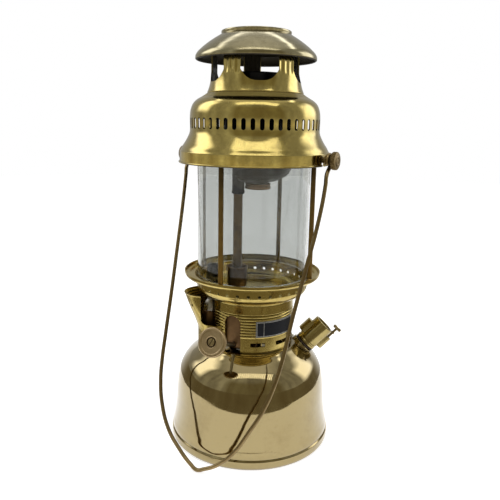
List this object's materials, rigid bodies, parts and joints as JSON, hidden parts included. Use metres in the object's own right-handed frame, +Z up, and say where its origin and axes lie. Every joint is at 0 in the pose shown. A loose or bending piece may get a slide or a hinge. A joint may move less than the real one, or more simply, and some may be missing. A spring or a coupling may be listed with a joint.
{
  "type": "kerosene pressure lantern",
  "caption": "Free-standing brass kerosene pressure lantern with a round tank, glass chimney, slotted hood, vented cowl and swinging wire bail.",
  "frame": {"origin": "middle of the tank's flat underside, on the table", "axes": "+Z up through the cowl, -Y towards the front seen in the picture, +X to its right"},
  "size_m": [0.1908, 0.1848, 0.4137],
  "materials": {
    "tank_brass": "polished, lightly aged",
    "fitting_brass": "turned and polished",
    "collar_brass": "polished, lightly aged",
    "hood_brass": "polished",
    "cowl_brass": "polished, greyed",
    "wire_brass": "aged",
    "cage_brass": "dark aged",
    "inner_brass": "aged",
    "wheel_brass": "dull, aged",
    "burnt_brass": "heat stained",
    "vaporizer_brass": "heat stained",
    "burnt_steel": "burnt dark",
    "bright_steel": "satin",
    "chimney_glass": "clear",
    "ceramic": "fired clay",
    "leather": "oiled",
    "rubber": "matt",
    "plate": "black, satin",
    "dial": "off-white"
  },
  "bodies": {
    "lantern": {"tank_shell": "tank_brass", "tank_base": "tank_brass", "pump_neck": "tank_brass", "filler_neck": "tank_brass", "pump_cap": "fitting_brass", "jet": "fitting_brass", "casing": "collar_brass", "torch_guard": "collar_brass", "gallery": "collar_brass", "gallery_floor": "collar_brass", "pivot_stud_left": "wire_brass", "pivot_stud_right": "wire_brass", "cage_rod_1": "cage_brass", "cage_rod_2": "cage_brass", "cage_rod_3": "cage_brass", "cage_rod_4": "cage_brass", "cage_top_ring": "cage_brass", "pump_barrel": "inner_brass", "pump_valve": "inner_brass", "dip_tube": "inner_brass", "valve_block": "burnt_brass", "preheat_cup": "burnt_brass", "torch_body": "burnt_brass", "vaporizer_tube": "vaporizer_brass", "vaporizer_head": "burnt_steel", "torch_head": "burnt_steel", "spindle_gland": "bright_steel", "glass_chimney": "chimney_glass", "label_plate": "plate"},
    "hood": {"hood": "hood_brass", "hood_neck": "hood_brass", "cowl": "cowl_brass", "inner_chimney": "burnt_steel", "heat_shield": "burnt_steel", "mixing_chamber": "burnt_steel", "mixing_tube": "burnt_steel", "nozzle_ring": "burnt_brass", "ceramic_nozzle": "ceramic"},
    "bail": {"bail": "wire_brass"},
    "nut_left": {"knurled_nut_left": "wire_brass"},
    "nut_right": {"knurled_nut_right": "wire_brass"},
    "control": {"control_wheel": "wheel_brass", "wheel_screw": "burnt_brass", "control_spindle": "bright_steel"},
    "needle": {"cleaning_needle": "bright_steel"},
    "pump": {"pump_knob": "inner_brass", "pump_rod": "bright_steel", "pump_piston": "leather"},
    "filler": {"filler_cap": "fitting_brass", "filler_gasket": "rubber", "gauge_dial": "dial", "gauge_glass": "chimney_glass"},
    "gauge": {"gauge_needle": "plate"},
    "bleed": {"bleed_screw": "inner_brass"},
    "lever": {"torch_lever": "bright_steel"}
  },
  "joints": [
    {"name": "hood_lift", "type": "slide", "parent": "lantern", "child": "hood", "axis": [0, 0, 1], "range_m": [0, 0.12]},
    {"name": "bail_swing", "type": "hinge", "parent": "lantern", "child": "bail", "pos_m": [0, 0, 0.29587], "axis": [-0.866, 0.5, 0], "range_deg": [0, 310]},
    {"name": "nut_right_turn", "type": "hinge", "parent": "lantern", "child": "nut_right", "pos_m": [0.07361, -0.0425, 0.29587], "axis": [0.866, -0.5, 0], "range_deg": [0, 720]},
    {"name": "nut_left_turn", "type": "hinge", "parent": "lantern", "child": "nut_left", "pos_m": [-0.07361, 0.0425, 0.29587], "axis": [-0.866, 0.5, 0], "range_deg": [0, 720]},
    {"name": "wheel_turn", "type": "hinge", "parent": "lantern", "child": "control", "pos_m": [-0.03639, -0.0746, 0.1283], "axis": [-0.4065, -0.8333, 0.3746], "range_deg": [0, 270]},
    {"name": "needle_rise", "type": "slide", "parent": "lantern", "child": "needle", "axis": [0, 0, 1], "range_m": [0, 0.0025]},
    {"name": "pump_stroke", "type": "slide", "parent": "lantern", "child": "pump", "axis": [0, 0.7071, 0.7071], "range_m": [0, 0.055]},
    {"name": "cap_turn", "type": "hinge", "parent": "lantern", "child": "filler", "pos_m": [0.05701, 0.00199, 0.09882], "axis": [0.7067, 0.0247, 0.7071], "range_deg": [0, 720]},
    {"name": "gauge_turn", "type": "hinge", "parent": "filler", "child": "gauge", "pos_m": [0.05701, 0.00199, 0.09882], "axis": [0.7067, 0.0247, 0.7071], "range_deg": [-240, 0]},
    {"name": "bleed_turn", "type": "hinge", "parent": "filler", "child": "bleed", "pos_m": [0.06641, 0.00232, 0.08942], "axis": [0.7067, 0.0247, 0.7071], "range_deg": [0, 360]},
    {"name": "lever_lift", "type": "hinge", "parent": "lantern", "child": "lever", "pos_m": [-0.046, -0.0034, 0.1133], "axis": [1, 0, 0], "range_deg": [0, 35]}
  ],
  "couplings": [
    {"joint": "needle_rise", "follows": "wheel_turn", "m_per_rad": 0.00053}
  ]
}
